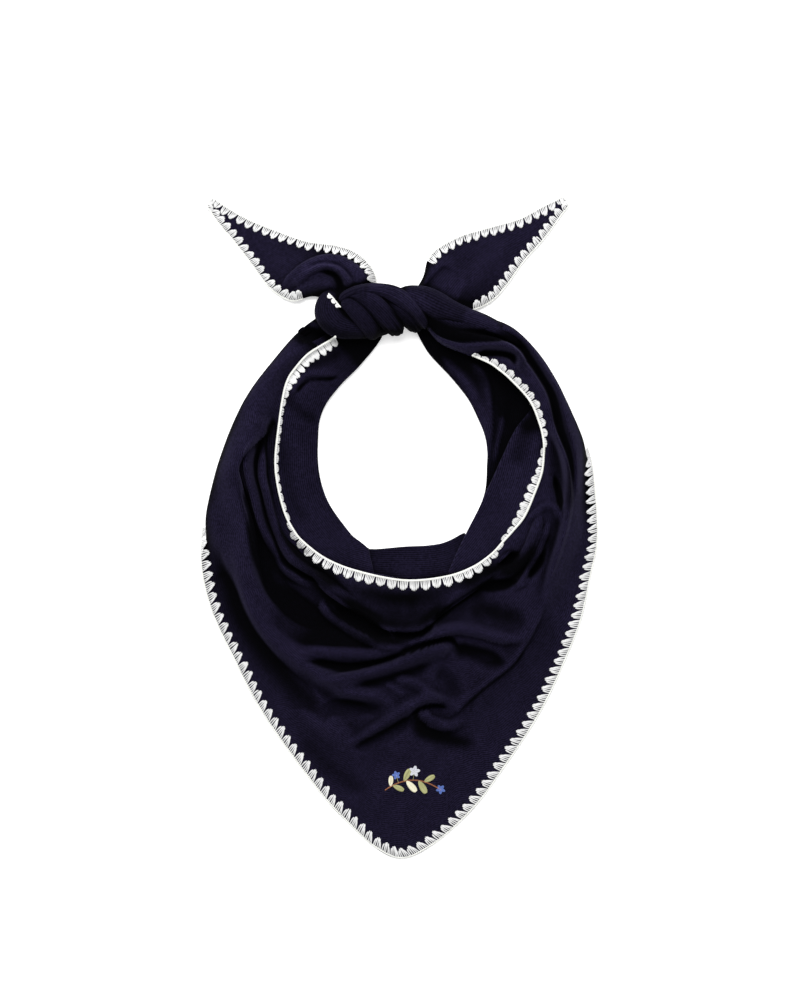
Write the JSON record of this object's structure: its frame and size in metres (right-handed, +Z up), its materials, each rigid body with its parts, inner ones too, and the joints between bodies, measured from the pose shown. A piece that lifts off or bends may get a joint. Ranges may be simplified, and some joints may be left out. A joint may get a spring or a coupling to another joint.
{
  "type": "triangle scarf",
  "caption": "Knitted triangle scarf tied in a knot and laid flat, with a neck opening, a draped pointed front, two loose ends and a crocheted fan edging.",
  "frame": {"origin": "on the surface that the scarf lies on, under the middle of its outline", "axes": "+Z up from the surface, +Y from the point towards the knot, +X to the right as the front is seen from above"},
  "size_m": [0.397, 0.6589, 0.046],
  "materials": {
    "knit_cloth": "fine navy wool knit, matt with a soft nap",
    "edging_yarn": "thick off-white yarn, matt",
    "embroidery_thread": "olive, cream, blue, grey and rust embroidery thread with a slight sheen"
  },
  "bodies": {
    "root": {"scarf_cloth": "knit_cloth", "edging_sides": "edging_yarn", "edging_neckline": "edging_yarn", "edging_left_tail": "edging_yarn", "edging_right_tail": "edging_yarn", "embroidery_sprig": "embroidery_thread"}
  },
  "joints": []
}
